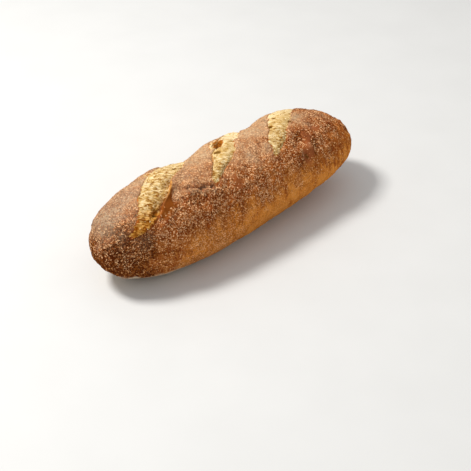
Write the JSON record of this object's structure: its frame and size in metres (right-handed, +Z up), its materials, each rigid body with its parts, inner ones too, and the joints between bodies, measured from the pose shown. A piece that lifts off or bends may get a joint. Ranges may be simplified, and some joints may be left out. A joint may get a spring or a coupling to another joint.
{
  "type": "vienna loaf",
  "caption": "Long round-ended wheat loaf with a browned, bran-coated crust, slanting torn slashes across the crown and a flat sole to rest on.",
  "frame": {"origin": "middle of the loaf's length and width, on the plane of the sole that it rests on", "axes": "+X along the loaf, +Y across it, +Z up through the crown"},
  "size_m": [0.3, 0.0966, 0.0794],
  "materials": {
    "crust": "matte browned bread crust with pale bran flakes and pale torn crumb in the slashes"
  },
  "bodies": {
    "root": {"loaf": "crust"}
  },
  "joints": []
}
